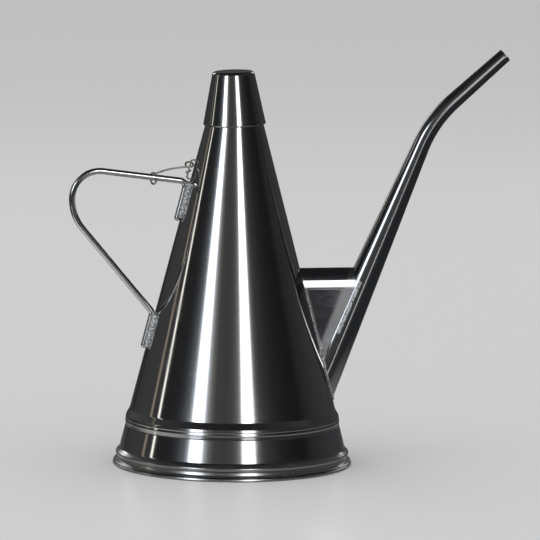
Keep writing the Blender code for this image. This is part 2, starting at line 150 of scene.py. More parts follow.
class Graph:
    """One node tree, with a method that adds a node and wires it in one call."""

    def __init__(self, tree):
        self.tree = tree

    def add(self, kind, settings=None, sockets=None):
        made = self.tree.nodes.new(kind)
        for name, setting in (settings or {}).items():
            if name == "stops":
                self.set_stops(made.color_ramp.elements, setting)
            else:
                setattr(made, name, setting)
        for key, given in (sockets or {}).items():
            given = given.socket if isinstance(given, Value) else given
            if isinstance(given, bpy.types.NodeSocket):
                self.tree.links.new(given, made.inputs[key])
            else:
                made.inputs[key].default_value = given
        return made

    def set_stops(self, stops, wanted):
        """Gives a colour ramp its stops, a list of (place, colour) from left to right."""
        for place, colour in wanted[1:-1]:
            stops.new(place)
        for stop, (place, colour) in zip(stops, wanted):
            stop.position, stop.color = place, colour

    def value(self, made, key):
        return Value(self, made.outputs[key])

    def vector(self, operation, *given, **named):
        """Adds a Vector Math node and returns it."""
        return self.add("ShaderNodeVectorMath", {"operation": operation}, {**dict(enumerate(given)), **named})

    def blend(self, share, first, second):
        """Mixes two colours."""
        sockets = {0: share, 6: first, 7: second}
        return self.add("ShaderNodeMix", {"data_type": "RGBA"}, sockets).outputs[2]

    def height(self, place):
        """How high a place is, for what changes with height."""
        return self.value(self.add("ShaderNodeSeparateXYZ", None, {0: place}), "Z")


def new_material(name):
    """An empty node material, its graph and its Object coordinates."""
    material = bpy.data.materials.new(name)
    material.use_nodes = True
    material.node_tree.nodes.clear()
    graph = Graph(material.node_tree)
    return material, graph, graph.add("ShaderNodeTexCoord").outputs["Object"]


def metal(graph, tint, rough, metallic, bump):
    """Ends a material's tree in one Principled shader."""
    sockets = {"Base Color": tint, "Roughness": rough, "Metallic": metallic, "Normal": bump.outputs[0]}
    shader = graph.add("ShaderNodeBsdfPrincipled", None, sockets)
    graph.add("ShaderNodeOutputMaterial", None, {"Surface": shader.outputs[0]})


print("node helpers ready")

# %% [markdown]
# ## Polished sheet steel
#
# The real finish is a machine polish: a mirror with a faint haze, fine lines where the
# wheel went round, and smudges from hands. A polish is never one number, so Roughness
# carries the smudges and the lines, and a very weak Bump carries the lines too. The
# lines run round the cone, so their noise is stretched flat: it changes quickly with
# height and slowly along the way round. Object coordinates keep it still on the part.

# %% Polished steel
SMUDGE_SCALE = 42.0
# The dark colour is painted shade for the crease of the foot and the seam under the lip.
SMUDGED, PAINTED_SHADE_COLOUR = 0.90, (0.10, 0.10, 0.10, 1)


def steel(name, colour, mirror, haze, lines, smudges, line_height=2 * MICRON, dulled=None, painted_shade=None):
    """Steel that reflects sharply where the polish is clean and softly where it isn't."""
    material, graph, place = new_material(name)
    stretched = graph.add("ShaderNodeMapping", None, {"Vector": place, "Scale": lines}).outputs[0]
    fine = graph.add("ShaderNodeTexNoise", None, {"Vector": stretched, "Scale": 1.0, "Detail": 3.0})
    sockets = {"Vector": place, "Scale": SMUDGE_SCALE, "Detail": 5.0, "Roughness": 0.6}
    cloud = graph.add("ShaderNodeTexNoise", None, sockets)
    line = graph.value(fine, "Fac")
    smudge = graph.value(cloud, "Fac").band(0.52, 0.74) * smudges
    rough = mirror + haze * line.band(0.35, 0.75) + smudge
    if dulled:
        rough = rough + dulled(graph, place)
    bump = graph.add("ShaderNodeBump", None, {"Height": line, "Strength": 0.35, "Distance": line_height})
    dull = tuple(SMUDGED * c for c in colour)
    tint = graph.blend(smudge * 4.0, (*colour, 1), (*dull, 1))
    # Painted shade: the colour darkens towards the shade colour where the mask says.
    if painted_shade:
        tint = graph.blend(painted_shade(graph, place), tint, PAINTED_SHADE_COLOUR)
    metal(graph, tint, rough, 1.0, bump)
    return material


print("polish ready")

# %% [markdown]
# Three places are set apart from the rest. Welding took the polish off the gusset's flank along the spout and
# the cone, and the wheel doesn't reach under the flare of the lip, so both are rougher. The crease of the
# foot and the seam under the lip get painted shade, a darker colour where shade falls. Each is a band between
# two heights, or between two distances from an edge.

# %% Worn and dirty places
HEAT_EDGE, HEAT_FADE = 42.2 * MM, (-3.6 * MM, -0.4 * MM)
FLANK_RADIUS = CONE_RADIUS - 0.6 * MM


def weld_heat(graph, place):
    """Extra roughness on the gusset where grinding and heat took the polish off."""
    split = graph.add("ShaderNodeSeparateXYZ", None, {0: place})
    x, z = graph.value(split, "X"), graph.value(split, "Z")
    to_spout = x - HEAT_EDGE - (z - ROOT_Z) * math.tan(SPOUT_LEAN)
    to_cone = x - FLANK_RADIUS + z * CONE_TAPER
    by_spout = z.band(60 * MM, 95 * MM, 0.07, 0.12) * to_spout.band(*HEAT_FADE)
    return by_spout + 0.10 * to_cone.band(0.3 * MM, 2.0 * MM, 1.0, 0.0)


def lip_haze(graph, place):
    """Extra roughness where the wall flares into the lip, out of the wheel's reach."""
    return 0.14 * graph.height(place).band(8.0 * MM, 9.4 * MM, 1.0, 0.0)


def crease_painted_shade(graph, place):
    """Painted shade: a dark line in the crease of the foot and another in the seam under the lip."""
    z = graph.height(place)
    crease = z.band(1.5 * MM, 1.8 * MM) * z.band(2.1 * MM, 2.5 * MM, 1.0, 0.0)
    return crease + 0.8 * z.band(4.1 * MM, 5.0 * MM)


ROUND_LINES, TUBE_LINES, FOLD_LINES = (60, 60, 5200), (900, 900, 120), (160, 160, 1900)
WIRE_GRAIN, THIN_GRAIN = (900, 900, 900), (2600, 2600, 300)
body_steel = steel("polished_body", (0.63, 0.63, 0.625), 0.055, 0.05, ROUND_LINES, 0.06, dulled=lip_haze)
cap_steel = steel("polished_cap", (0.62, 0.615, 0.60), 0.06, 0.05, ROUND_LINES, 0.05)
spout_steel = steel("polished_spout", (0.62, 0.63, 0.64), 0.06, 0.05, TUBE_LINES, 0.05)
gusset_steel = steel("folded_sheet", (0.60, 0.61, 0.63), 0.05, 0.04, FOLD_LINES, 0.06, dulled=weld_heat)
# The foot gets painted shade in its crease and in the seam under the lip.
foot_steel = steel(
    "satin_foot", (0.75, 0.745, 0.73), 0.19, 0.08, ROUND_LINES, 0.06, 3 * MICRON, painted_shade=crease_painted_shade
)
wire_steel = steel("drawn_wire", (0.84, 0.84, 0.83), 0.10, 0.05, WIRE_GRAIN, 0.04)
thin_steel = steel("keeper_steel", (0.66, 0.64, 0.58), 0.2, 0.1, THIN_GRAIN, 0.05, 4 * MICRON)
steels = (body_steel, cap_steel, spout_steel, gusset_steel, foot_steel, wire_steel, thin_steel)
print("steels:", [material.name for material in steels])

# %% [markdown]
# ## Weld metal
#
# The welds weren't polished. They are silvery and grainy, like frozen ripples, so they
# need a bump at the scale of a grain of sand and a rough, uneven shine. Such a skin also
# scatters a little light, so it isn't wholly a metal.

# %% Weld metal
WELD_GRAIN, WELD_DEPTH = 1300.0, 0.3 * MM
WELD_BRIGHT = (0.88, 0.89, 0.90)
WELD_DARK = tuple(0.62 * c for c in WELD_BRIGHT)

weld_steel, graph, place = new_material("weld_metal")
pits = graph.add("ShaderNodeTexVoronoi", None, {"Vector": place, "Scale": WELD_GRAIN})
sockets = {"Vector": place, "Scale": 0.6 * WELD_GRAIN, "Detail": 4.0}
ripple = graph.value(graph.add("ShaderNodeTexNoise", None, sockets), "Fac")
sockets = {"Height": graph.value(pits, "Distance") * 0.6 + ripple, "Strength": 0.7, "Distance": WELD_DEPTH}
bump = graph.add("ShaderNodeBump", None, sockets)
tint = graph.blend(ripple.band(0.35, 0.65), (*WELD_DARK, 1), (*WELD_BRIGHT, 1))
metal(graph, tint, ripple.band(0.3, 0.7, 0.20, 0.40), 0.82, bump)
print("made", weld_steel.name)

# %% [markdown]
# ## Two ways to make sheet and wire
#
# Spinning presses a flat disc against a turning form, and a wire is one round section
# carried along a path. Geometry Nodes say both as a rule. The first tree carries an
# outline round a circle. The second carries a circle along a route and lets each point
# of the route say how thick it is there.

# %% The lathe tree and the wire tree
WELDED_WITHIN = 1 * MICRON


def new_tree(name, inputs):
    """A Geometry Nodes tree with named inputs, and its graph and its input node."""
    tree = bpy.data.node_groups.new(name, "GeometryNodeTree")
    tree.interface.new_socket("Geometry", in_out="INPUT", socket_type="NodeSocketGeometry")
    for label, kind in inputs.items():
        tree.interface.new_socket(label, in_out="INPUT", socket_type=kind)
    tree.interface.new_socket("Geometry", in_out="OUTPUT", socket_type="NodeSocketGeometry")
    graph = Graph(tree)
    return tree, graph, graph.add("NodeGroupInput").outputs


def close_tree(graph, geometry, finish):
    """The steps that both trees end in."""
    merged = graph.add("GeometryNodeMergeByDistance", None, {0: geometry, "Distance": WELDED_WITHIN})
    smooth = graph.add("GeometryNodeSetShadeSmooth", None, {0: merged.outputs[0]})
    real = graph.add("GeometryNodeRealizeInstances", None, {0: smooth.outputs[0]})
    coated = graph.add("GeometryNodeSetMaterial", None, {0: real.outputs[0], "Material": finish})
    graph.add("NodeGroupOutput", None, {0: coated.outputs[0]})


inputs = {"Steps": "NodeSocketInt", "Core": "NodeSocketFloat", "Finish": "NodeSocketMaterial"}
lathe_tree, graph, given = new_tree("lathe", inputs)
outline = graph.add("GeometryNodeMeshToCurve", None, {0: given["Geometry"]}).outputs[0]
sockets = {"Resolution": given["Steps"], "Radius": given["Core"]}
circle = graph.add("GeometryNodeCurvePrimitiveCircle", None, sockets).outputs[0]
spun = graph.add("GeometryNodeCurveToMesh", None, {"Curve": circle, "Profile Curve": outline})
close_tree(graph, spun.outputs[0], given["Finish"])

wire_tree, graph, given = new_tree("wire", {"Sides": "NodeSocketInt", "Finish": "NodeSocketMaterial"})
route = graph.add("GeometryNodeMeshToCurve", None, {0: given["Geometry"]}).outputs[0]
thick = graph.add("GeometryNodeInputNamedAttribute", {"data_type": "FLOAT"}, {"Name": "thick"}).outputs[0]
sockets = {"Resolution": given["Sides"], "Radius": 1.0}
section = graph.add("GeometryNodeCurvePrimitiveCircle", None, sockets).outputs[0]
sockets = {"Curve": route, "Profile Curve": section, "Scale": thick, "Fill Caps": True}
swept = graph.add("GeometryNodeCurveToMesh", None, sockets)
close_tree(graph, swept.outputs[0], given["Finish"])
print("trees:", lathe_tree.name, wire_tree.name)

# %% Grow a mesh from a tree
MERGE = 0.5 * MICRON
SHARP = math.radians(38)


def set_inputs(modifier, values):
    """Sets a tree's named inputs by the identifiers that Blender gave them."""
    for item in modifier.node_group.interface.items_tree:
        if item.item_type == "SOCKET" and item.in_out == "INPUT" and item.name in values:
            modifier[item.identifier] = values[item.name]


def smoothed(mesh):
    """Smooth shading, broken at the true edges."""
    mesh.shade_smooth()
    mesh.set_sharp_from_angle(angle=SHARP)


def outward(mesh):
    """Merges doubles, turns every face outwards and marks the true edges as sharp."""
    bm = bmesh.new()
    bm.from_mesh(mesh)
    bmesh.ops.remove_doubles(bm, verts=bm.verts, dist=MERGE)
    bmesh.ops.recalc_face_normals(bm, faces=bm.faces)
    bm.to_mesh(mesh)
    bm.free()
    smoothed(mesh)


def placed(name, mesh):
    obj = bpy.data.objects.new(name, mesh)
    bpy.context.scene.collection.objects.link(obj)
    return obj


def grown(name, points, tree, values, closed=False, thick=None):
    """Hands a line of points to a tree and returns the plain mesh object that comes out."""
    line = bpy.data.meshes.new(name + "_line")
    pairs = [(k, k + 1) for k in range(len(points) - 1)] + ([(len(points) - 1, 0)] if closed else [])
    line.from_pydata([tuple(p) for p in points], pairs, [])
    if thick:
        line.attributes.new("thick", "FLOAT", "POINT").data.foreach_set("value", thick)
    carrier = placed(name + "_line", line)
    modifier = carrier.modifiers.new("made", "NODES")
    modifier.node_group = tree
    set_inputs(modifier, values)
    ready = carrier.evaluated_get(bpy.context.evaluated_depsgraph_get())
    mesh = bpy.data.meshes.new_from_object(ready)
    carrier.modifiers.clear()
    bpy.data.objects.remove(carrier)
    mesh.name = name
    outward(mesh)
    return placed(name, mesh)


def report(obj):
    size = [round(d / MM, 1) for d in obj.dimensions]
    print(f"{obj.name}: {len(obj.data.polygons)} faces, {size} mm")
    return obj


print("mesh helpers ready")

# %% [markdown]
# ## Outlines with soft bends
#
# Sheet metal has no knife edges: every bend has a radius. `rounded` swaps corners for
# arcs. A mirror also shows how evenly a mesh is cut, so `eased` adds points along each
# straight stretch, with one pair close to its ends: the smooth shading of a bend then
# can't bleed up the wall.

# %% Outline helpers
CLOSE_PAIR = 0.25 * MM
LATHE_CORE = 5 * MM


def rounded(corners, radii, fine=math.radians(6)):
    """A path through corners, each inner one replaced by an arc of its radius."""
    corners = [Vector(c) for c in corners]
    path = [corners[0]]
    for before, corner, after, radius in zip(corners, corners[1:], corners[2:], radii):
        back, on = (before - corner).normalized(), (after - corner).normalized()
        turn = math.pi - back.angle(on)
        if turn < 0.01:
            path.append(corner)
            continue
        reach = radius * math.tan(turn / 2)
        middle = corner + (back + on).normalized() * radius / math.cos(turn / 2)
        first, last = corner + back * reach - middle, corner + on * reach - middle
        count = max(2, math.ceil(turn / fine))
        path += [middle + first.slerp(last, k / count).normalized() * radius for k in range(count + 1)]
    return path + [corners[-1]]


def eased(path, step):
    """Adds points to the long stretches of a path, a close pair at both ends of each."""
    found = [path[0]]
    for one, two in zip(path, path[1:]):
        length = (two - one).length
        if length > 4 * CLOSE_PAIR:
            plain = length - 2 * CLOSE_PAIR
            inner = max(1, math.ceil(plain / step))
            stops = [(CLOSE_PAIR + plain * k / inner) / length for k in range(inner + 1)]
            found += [one.lerp(two, stop) for stop in stops]
        found.append(two)
    return found


def at(radius, height):
    return Vector((radius, 0, height))


def on_cone(height, off=0.0):
    return at(cone_radius(height) + off / CONE_COS, height)


def arc(radius, height, round_radius, start, end, steps):
    """Points of a round stretch about a place, between two angles in degrees."""
    angles = [math.radians(start + (end - start) * k / steps) for k in range(steps + 1)]
    return [at(radius + round_radius * math.cos(a), height + round_radius * math.sin(a)) for a in angles]


def in_mm(numbers):
    return [number * MM for number in numbers]


def turned(name, path, steps, material, closed=False):
    """Spins an outline of (radius, 0, height) points about the can's axis."""
    points = [(p.x - LATHE_CORE, -p.z, 0) for p in path]
    return grown(name, points, lathe_tree, {"Steps": steps, "Core": LATHE_CORE, "Finish": material}, closed)


print("outline helpers ready")

# %% [markdown]
# ## The body
#
# One cone of thin sheet. Its mouth is rolled outwards so that it isn't sharp, a swaged
# band runs round it low down, where the wall steps out and hides the edge of the base
# inside, and the lower edge flares into a lip. The band is a list of heights and of how
# proud of the cone it stands there, in millimetres, from the top down: one broad shoulder,
# two fine ridges and a run-out.

# %% Body
BODY_STEPS = 240
ROLL, ROLL_FROM, ROLL_TO, ROLL_STEPS = 0.9 * MM, 205, -72, 26
BAND = [(30.4, 0.0), (26.9, 1.0), (25.5, 0.87), (25.05, 0.70), (24.6, 0.73), (23.8, 0.66)]
BAND += [(23.2, 0.40), (21.8, 0.08), (21.3, 0.0)]
LIP_START, LIP_CREST, LIP_END = 9.2 * MM, 6.85 * MM, 5.5 * MM
LIP_PROUD, LIP_TUCK = 1.5 * MM, 0.25 * MM
WALL_BENDS = in_mm([2.4, 0.7, 0.4, 0.3, 0.3, 0.4, 0.5, 0.4, 0.5, 1.0, 1.2])

flare = cone_radius(LIP_CREST) + LIP_PROUD
wall = [on_cone(MOUTH_HEIGHT - 2.3 * ROLL)] + [on_cone(z * MM, off * MM) for z, off in BAND]
wall += [on_cone(LIP_START), at(flare, LIP_CREST), at(flare - LIP_TUCK, LIP_END)]
outside = rounded(wall, WALL_BENDS)
inside = [p - Vector((SHEET_ACROSS, 0, 0)) for p in reversed(outside)]
mouth = arc(cone_radius(MOUTH_HEIGHT), MOUTH_HEIGHT - ROLL, ROLL, ROLL_FROM, ROLL_TO, ROLL_STEPS)
path = mouth + eased(outside, 3 * MM) + eased(inside, 9 * MM)
body = report(turned("body_cone", path, BODY_STEPS, body_steel, closed=True))

# %% [markdown]
# ## The base
#
# A pressed pan closes the bottom. Its edge is rolled into a foot that stands out from
# under the lip, with a fine crease where the roll closes, and ends in an upstand inside
# the cone. The foot's outline is a list of how far in from its widest place, and how high,
# in millimetres, from the table up. The floor is flat, with a pressed groove round it
# that makes the sheet stiff.

# %% Base
FOOT = CONE_RADIUS + 1.2 * MM
FOOT_WIDTH, HEEL_HEIGHT, PAN_WIDTH = 3.0 * MM, 2.4 * MM, 4.9 * MM
GROOVE_WIDTH, GROOVE_SLOPE, GROOVE_HEIGHT = 5.7 * MM, 3.0 * MM, 3.0 * MM
FOOT_OUTLINE = [(0, 0), (0, 0.8), (0.12, 1.5), (0.80, 1.9), (0.35, 2.2), (0.80, 2.6)]
FOOT_OUTLINE += [(2.40, 2.8), (2.72, 4.4), (2.75, 5.4)]
UPSTAND_START, UPSTAND_TOP = 8.6 * MM, 13.5 * MM
BASE_BENDS = in_mm([1.0, 0.8, 0.6, 1.2, 0.7, 0.4, 0.2, 0.1, 0.2, 0.3, 0.5, 0.8, 1.0])
BASE_BENDS += in_mm([1.0, 0.1, 0.1, 1.0, 0.8, 1.0])

heel = FOOT - FOOT_WIDTH
groove = heel - GROOVE_WIDTH
floor_edge = groove - GROOVE_SLOPE
wall_gap = SHEET_ACROSS + GAP_ACROSS
top = cone_radius(UPSTAND_TOP) - wall_gap
corners = [at(0, 0), at(floor_edge, 0), at(groove, GROOVE_HEIGHT), at(heel, HEEL_HEIGHT), at(heel, 0)]
corners += [at(FOOT - inset * MM, height * MM) for inset, height in FOOT_OUTLINE]
corners += [at(cone_radius(UPSTAND_START) - wall_gap, UPSTAND_START), at(top, UPSTAND_TOP)]
corners += [at(top - SHEET_ACROSS, UPSTAND_TOP), at(FOOT - PAN_WIDTH, GROOVE_HEIGHT + SHEET)]
corners += [at(groove, GROOVE_HEIGHT + SHEET), at(floor_edge, SHEET), at(0, SHEET)]
base = report(turned("base_foot", eased(rounded(corners, BASE_BENDS), 4 * MM), BODY_STEPS, foot_steel))

# %% [markdown]
# ## The cap
#
# A deep-drawn thimble with a rounded top edge. It is slimmer than the cone at the top
# and touches it only at its rim, which is turned in, so it wedges on and lifts off. A
# hand never pushes it on quite straight, so it leans a degree or two to the handle.

# %% Cap
CAP_STEPS = 160
CAP_RIM = MOUTH_HEIGHT - 16.8 * MM
CAP_TALL, CAP_PROUD, CAP_HEM = 29.0 * MM, 1.13 * MM, 3.0 * MM
CAP_TAPER = 0.7643 * CONE_TAPER
CAP_LEAN = math.radians(1.8)
RIM_TALL, RIM_WIDE = 0.5 * MM, 0.3 * MM
HEM_WALL, TOP_WALL = 0.65 * MM, 0.62 * MM
CAP_BENDS = in_mm([2.2, 0.3, 0.25, 0.1, 0.3, 0.4, 1.6])

rim_radius = cone_radius(CAP_RIM) + CAP_PROUD
top_radius = rim_radius - CAP_TAPER * CAP_TALL
seat = cone_radius(CAP_RIM) + GAP_ACROSS
corners = [at(0, CAP_TALL), at(top_radius, CAP_TALL), at(rim_radius, RIM_TALL), at(rim_radius - RIM_WIDE, 0)]
corners += [at(seat, 0), at(seat - CONE_TAPER * CAP_HEM, CAP_HEM)]
corners += [at(rim_radius - CAP_TAPER * CAP_HEM - HEM_WALL, CAP_HEM + SHEET)]
corners += [at(top_radius - TOP_WALL, CAP_TALL - SHEET), at(0, CAP_TALL - SHEET)]
cap = turned("slip_cap", eased(rounded(corners, CAP_BENDS), 2 * MM), CAP_STEPS, cap_steel)
cap.data.transform(Matrix.Translation(UP * CAP_RIM) @ Matrix.Rotation(-CAP_LEAN, 4, "Y"))
report(cap)

# %% [markdown]
# ## The spout
#
# A tapered tube, bent once. Its root is cut to the cone. A Boolean could cut it, but the
# leftover faces would show as dents in a mirror. So each line of points along the tube
# starts where it meets the cone: halving a stretch again and again finds that place, and
# the mesh stays a clean grid from end to end.

# %% The spout's sizes and its skin
SPOUT_BEND, SPOUT_BEND_RADIUS = math.radians(25.6), 68.0 * MM
LOWER_RUN, TIP_RUN = 148.5 * MM, 54.0 * MM
ROOT_RADIUS, NECK_RADIUS, TIP_RADIUS = 9.8 * MM, 4.9 * MM, 3.85 * MM
BEND_REACH = SPOUT_BEND_RADIUS * math.tan(SPOUT_BEND / 2)
BEND_START, BEND_LENGTH = LOWER_RUN - BEND_REACH, SPOUT_BEND_RADIUS * SPOUT_BEND
SPOUT_LENGTH = BEND_START + BEND_LENGTH + TIP_RUN - BEND_REACH
SPOUT_ROOT = on_cone(ROOT_Z)


def direction(lean):
    return Vector((math.sin(lean), 0, math.cos(lean)))


def spout_middle(distance):
    """The middle line at a distance from the root, and the way it leans there."""
    low = direction(SPOUT_LEAN)
    if distance <= BEND_START:
        return SPOUT_ROOT + low * distance, SPOUT_LEAN
    lean = SPOUT_LEAN + min(1, (distance - BEND_START) / BEND_LENGTH) * SPOUT_BEND
    hub = SPOUT_ROOT + low * BEND_START + direction(SPOUT_LEAN + math.pi / 2) * SPOUT_BEND_RADIUS
    bent = hub - direction(lean + math.pi / 2) * SPOUT_BEND_RADIUS
    rest = max(0, distance - BEND_START - BEND_LENGTH)
    return bent + direction(lean) * rest, lean


def spout_radius(distance):
    if distance < BEND_START:
        return ROOT_RADIUS + (NECK_RADIUS - ROOT_RADIUS) * distance / BEND_START
    share = (distance - BEND_START) / (LOWER_RUN + TIP_RUN - BEND_START)
    return NECK_RADIUS + (TIP_RADIUS - NECK_RADIUS) * share


def spout_point(turn, distance, more=0.0):
    """A point on the spout's skin. Turn 0 is underneath, away from the cone."""
    middle, lean = spout_middle(distance)
    off = direction(lean + math.pi / 2) * math.cos(turn) + ASIDE * math.sin(turn)
    return middle + off * (spout_radius(distance) + more)


def along_spout(height):
    """How far along the straight lower run a height is."""
    return (height - ROOT_Z) / math.cos(SPOUT_LEAN)


print(f"the spout is {SPOUT_LENGTH / MM:.1f} mm long")

# %% The spout's cut root
HALVINGS = 36
ROOT_GAP = 0.02 * MM


def off_cone(point):
    return (point.xy.length - cone_radius(point.z)) * CONE_COS


def halved(low, high, too_low):
    """The place where a test turns false, by halving a stretch again and again."""
    for _ in range(HALVINGS):
        middle = (low + high) / 2
        low, high = (middle, high) if too_low(middle) else (low, middle)
    return (low + high) / 2


def spout_start(turn, more, gap):
    """Where a line along the spout's skin comes out of the cone."""
    reach = 3 * ROOT_RADIUS
    return halved(-reach, reach, lambda d: off_cone(spout_point(turn, d, more)) < gap)


print(f"its underside starts {spout_start(0, 0, ROOT_GAP) / MM:.1f} mm along its middle line")

# %% Spout
SPOUT_SIDES, ROOT_RINGS, TUBE_RINGS = 72, 24, 96
SQUARE_FROM = 30 * MM
OUTER_LIP = [(0.35, 0.0), (0.2, 0.03), (0.05, 0.0), (0.0, -0.12)]
INNER_LIP = [(0.3, 0.0), (0.1, 0.02), (0.0, 0.15)]
turns = [math.tau * k / SPOUT_SIDES for k in range(SPOUT_SIDES)]
stops = [(k / ROOT_RINGS) ** 1.3 for k in range(ROOT_RINGS)] + [1.0]
later = [SQUARE_FROM + (SPOUT_LENGTH - SQUARE_FROM) * k / TUBE_RINGS for k in range(1, TUBE_RINGS)]


def spout_rings(more, lip):
    """Rings of points from the cut root to the tip, on the outer or the inner skin."""
    starts = [spout_start(turn, more, ROOT_GAP) for turn in turns]
    rings = []
    for stop in stops:
        rings.append([spout_point(t, s + (SQUARE_FROM - s) * stop, more) for t, s in zip(turns, starts)])
    rings += [[spout_point(t, d, more) for t in turns] for d in later]
    for cut, inset in lip:
        rings.append([spout_point(t, SPOUT_LENGTH - cut * MM, more + inset * MM) for t in turns])
    return rings


def skinned(name, rings, material, loop=False):
    """A mesh over closed rings of points. With loop set, the last ring joins the first."""
    mesh = bpy.data.meshes.new(name)
    sides = len(rings[0])
    faces = []
    for r in range(len(rings) if loop else len(rings) - 1):
        one, two = r * sides, (r + 1) % len(rings) * sides
        for k in range(sides):
            m = (k + 1) % sides
            faces.append((one + k, one + m, two + m, two + k))
    mesh.from_pydata([tuple(p) for ring in rings for p in ring], [], faces)
    mesh.materials.append(material)
    outward(mesh)
    return placed(name, mesh)


rings = spout_rings(0.0, OUTER_LIP) + list(reversed(spout_rings(-SHEET, INNER_LIP)))
spout = report(skinned("pouring_spout", rings, spout_steel, loop=True))

# %% [markdown]
# The oil has to get out, so the wall needs a hole as wide as the spout's bore. Here a
# Boolean is right: its edge lies inside the spout, where nobody sees it.

# %% Spout hole through the body
BORE_WALL = 0.9 * MM
DRILL_STOPS = in_mm([-26, -8, 10, 30])


def capped(obj, sliver=0.0):
    """Closes the open ends of a mesh, once edges as short as a sliver are gone."""
    ends = bmesh.new()
    ends.from_mesh(obj.data)
    if sliver:
        bmesh.ops.dissolve_degenerate(ends, edges=ends.edges, dist=sliver)
    bmesh.ops.holes_fill(ends, edges=[e for e in ends.edges if e.is_boundary])
    ends.to_mesh(obj.data)
    ends.free()
    outward(obj.data)
    return obj


bore = [[spout_point(t, d, -BORE_WALL) for t in turns] for d in DRILL_STOPS]
drill = capped(skinned("drill", bore, body_steel))
cut = body.modifiers.new("spout hole", "BOOLEAN")
cut.object, cut.operation, cut.solver = drill, "DIFFERENCE", "EXACT"
ready = body.evaluated_get(bpy.context.evaluated_depsgraph_get())
holed = bpy.data.meshes.new_from_object(ready)
body.modifiers.clear()
body.data = holed
smoothed(holed)
bpy.data.objects.remove(drill)
report(body)

# %% [markdown]
# ## The gusset
#
# A saddle of sheet, folded over an arched crest, braces the spout. It is a little
# narrower than the spout where they meet, so its flanks spread downwards. Each point of
# the grid is found from its height and its side: how far the cone lets it go on the left
# and the spout on the right.

# %% Gusset
GUSSET_TOP, GUSSET_TIP, GUSSET_CREST = 107.0 * MM, 60.0 * MM, 12.0 * MM
GUSSET_SHARE = 0.87
FLANK_ROWS, CREST_ROWS, SPAN_STEPS = 36, 40, 20
CONE_TOUCH, SPAN_REACH = 0.05 * MM, 25 * MM


def gusset_half(height):
    """Half the gusset's width, a share of the spout's at the same height."""
    return GUSSET_SHARE * (spout_radius(along_spout(height)) + GAP)


def off_spout(point):
    """Distance outside the straight lower run of the spout."""
    low = direction(SPOUT_LEAN)
    distance = (point - SPOUT_ROOT).dot(low)
    return (point - SPOUT_ROOT - low * distance).length - spout_radius(distance)


def gusset_span(side, height):
    """Where a line along X leaves the cone and where it meets the spout."""
    left = math.sqrt(max(0, (cone_radius(height) + CONE_TOUCH) ** 2 - side**2))
    axis = SPOUT_ROOT.x + (height - ROOT_Z) * math.tan(SPOUT_LEAN)
    right = halved(axis - SPAN_REACH, axis, lambda x: off_spout(Vector((x, side, height))) > GAP)
    return left, max(left, right)


def gusset_section(inset):
    """Points (side, height) from one flank's tip over the crest to the other's."""
    spring = GUSSET_TOP - GUSSET_CREST
    flank = [spring + (GUSSET_TIP - spring) * k / FLANK_ROWS for k in range(1, FLANK_ROWS + 1)]
    left = [(gusset_half(z) - inset, z) for z in reversed(flank)]
    half, tall = gusset_half(spring) - inset, GUSSET_CREST - inset
    angles = [math.pi * k / CREST_ROWS for k in range(CREST_ROWS + 1)]
    crest = [(half * math.cos(angle), spring + tall * math.sin(angle)) for angle in angles]
    return left + crest + [(-side, z) for side, z in reversed(left)]


def gusset_rings(inset):
    """Rows of points from the cone to the spout, one for each point of the section."""
    rings = []
    for side, height in gusset_section(inset):
        left, right = gusset_span(side, height)
        steps = [left + (right - left) * k / SPAN_STEPS for k in range(SPAN_STEPS + 1)]
        rings.append([Vector((x, side, height)) for x in steps])
    return rings


outer, inner = gusset_rings(0.0), gusset_rings(SHEET)
loops = [one + list(reversed(two)) for one, two in zip(outer, inner)]
gusset = report(capped(skinned("brace_gusset", loops, gusset_steel), 1 * MICRON))

# %% [markdown]
# ## The welds
#
# A bead of weld runs round the spout's root, a rough band ties the gusset to the spout,
# a fine one ties it to the cone, and a blob of metal closes the corner where all three
# meet. A bead is a wire whose thickness wanders: noise moves its radius and its path a
# little, so that it ripples as the welder's hand did. Without a seed `noise_vector` gives
# other values in each run, so the seed is fixed and each run makes the same beads.

# %% Wires and beads
BEAD_SEED = 7
RIPPLE_PITCH = 1.1 * MM
DOME_STEPS, DOME_TIP = 6, 0.06
noise.seed_set(BEAD_SEED)


def wire(name, path, radius, sides, material, closed=False, ripple=0.0):
    """A round wire with domed ends. A ripple above zero makes it a bead of weld."""
    path = [Vector(p) for p in path]
    thick = [radius] * len(path)
    if not closed:
        start, end = (path[0] - path[1]).normalized(), (path[-1] - path[-2]).normalized()
        angles = [math.pi / 2 * k / DOME_STEPS for k in range(DOME_STEPS)]
        first = [path[0] + start * radius * math.cos(a) for a in angles]
        last = [path[-1] + end * radius * math.cos(a) for a in reversed(angles)]
        ends = [max(DOME_TIP, math.sin(a)) * radius for a in angles]
        path, thick = first + path + last, ends + thick + list(reversed(ends))
    if ripple:
        thick = [t * (1 + ripple * noise.noise(p / RIPPLE_PITCH)) for t, p in zip(thick, path)]
        path = [p + noise.noise_vector(p / RIPPLE_PITCH) * ripple * radius * 0.5 for p in path]
    return grown(name, path, wire_tree, {"Sides": sides, "Finish": material}, closed, thick)


def spaced(path, step):
    """The same path with its points a step apart."""
    found, left = [path[0]], 0.0
    for one, two in zip(path, path[1:]):
        length = (two - one).length
        while left + step <= length:
            left += step
            found.append(one.lerp(two, left / length))
        left -= length
    return found + [path[-1]]


print("wire helpers ready")

# %% Beads along the cone
SEAM_BEAD, SEAM_TOP, SEAM_POINTS = 0.42 * MM, 58.5 * MM, 160
EDGE_BEAD, EDGE_STEP, EDGE_LEAST = 0.46 * MM, 0.35 * MM, 0.6 * MM
BEAD_SIDES, BEAD_RIPPLE = 10, 0.35


def seam_place(turn):
    """The middle of a bead that lies in the corner between the spout and the cone."""
    return spout_point(turn, spout_start(turn, SEAM_BEAD, SEAM_BEAD), SEAM_BEAD)


